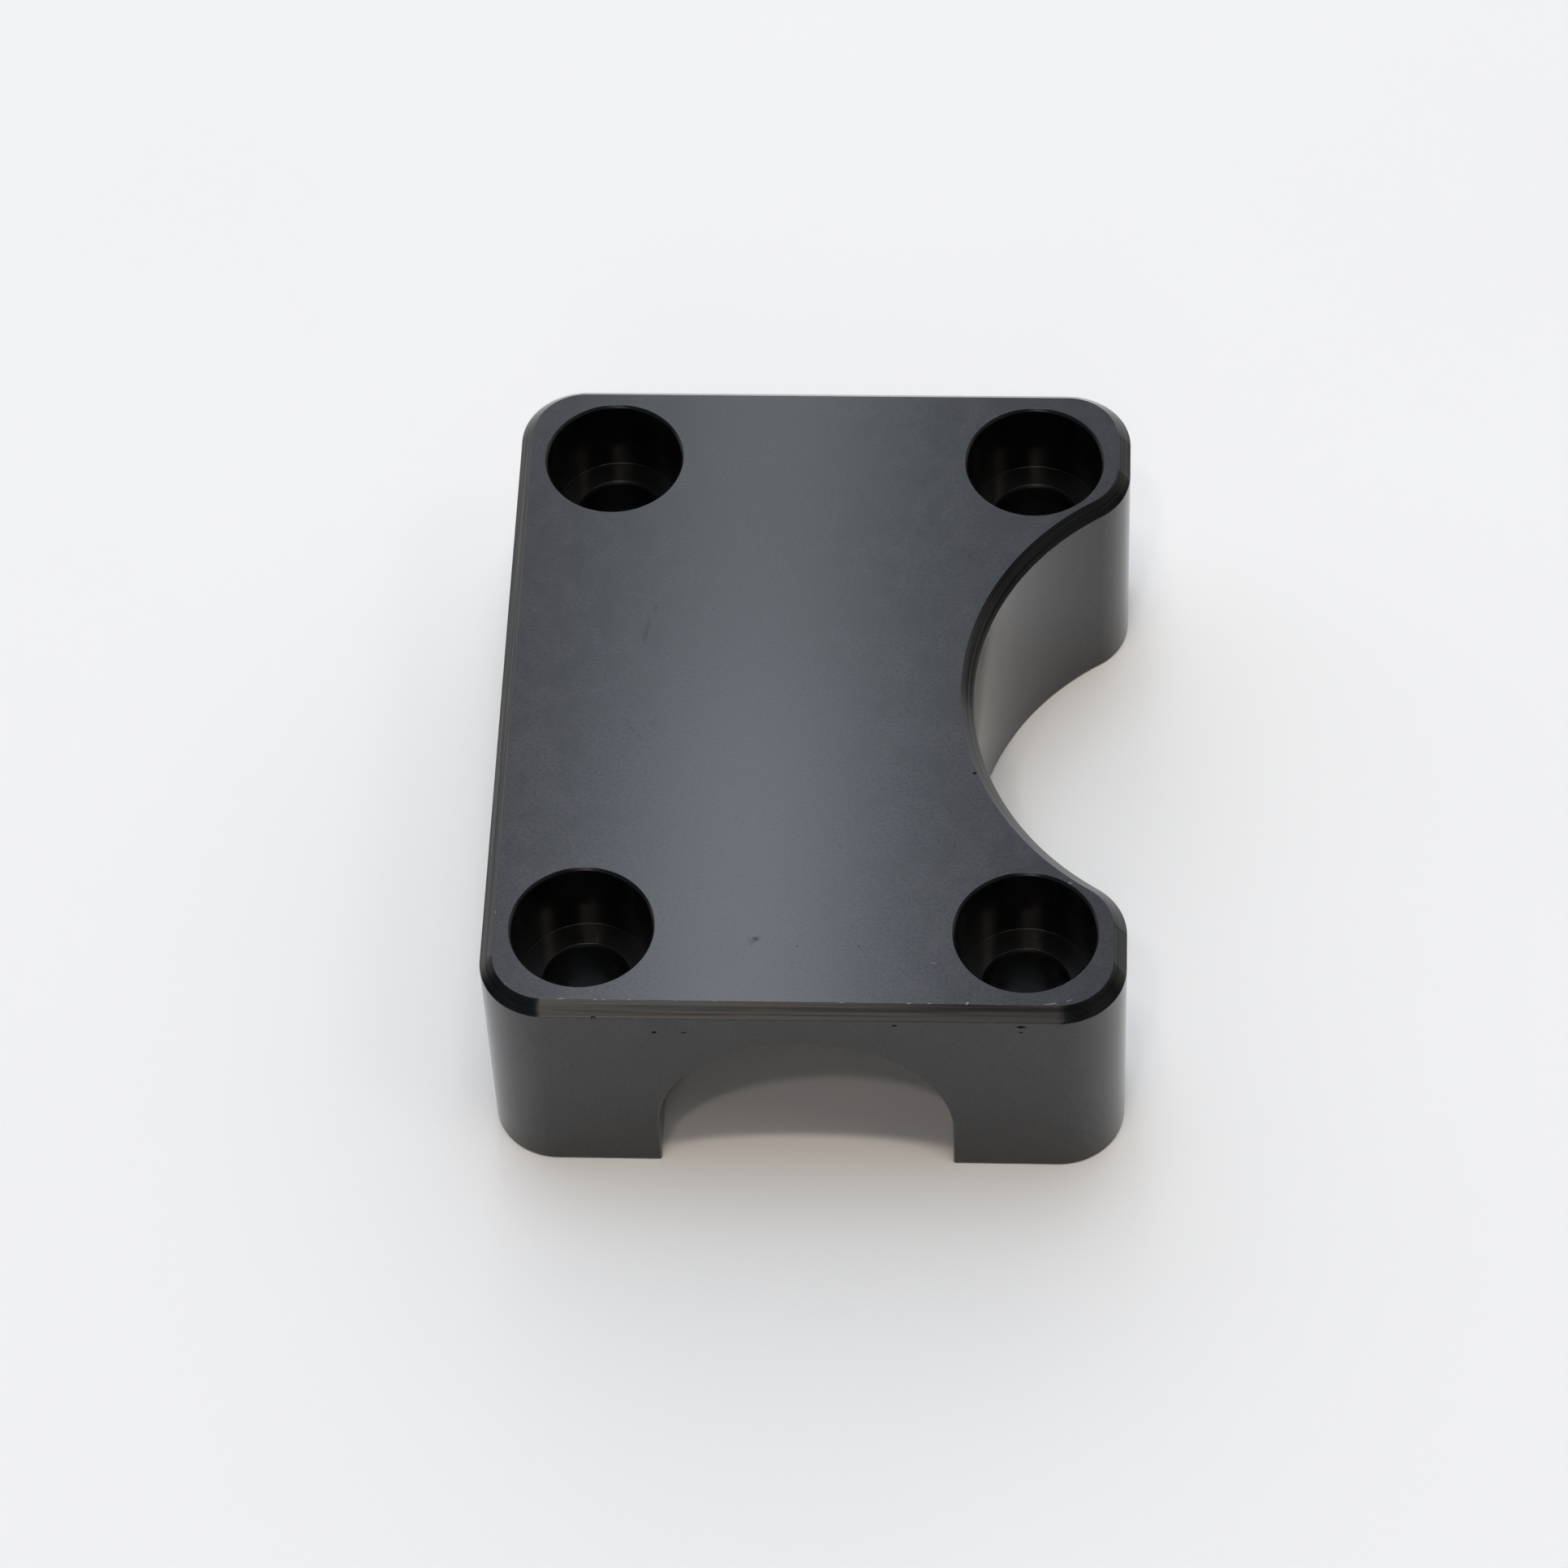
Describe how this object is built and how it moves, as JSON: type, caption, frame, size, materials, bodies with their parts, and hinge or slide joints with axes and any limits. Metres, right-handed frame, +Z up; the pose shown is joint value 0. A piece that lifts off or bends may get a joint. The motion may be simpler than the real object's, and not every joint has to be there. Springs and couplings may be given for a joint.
{
  "type": "handlebar stem clamp block",
  "caption": "Black anodised machined clamp block for a handlebar stem, with a bar channel underneath, corner counterbores and a round side notch.",
  "frame": {"origin": "middle of the footprint, on the plane that the two legs stand on", "axes": "+Z up out of the counterbored top face, +Y along the handlebar, +X towards the side with the round notch"},
  "size_m": [0.048, 0.06, 0.02],
  "materials": {
    "black_anodised_aluminium": "satin black anodised over fine bead blasting, with milled chamfers"
  },
  "bodies": {
    "root": {"stem_clamp_block": "black_anodised_aluminium"}
  },
  "joints": []
}
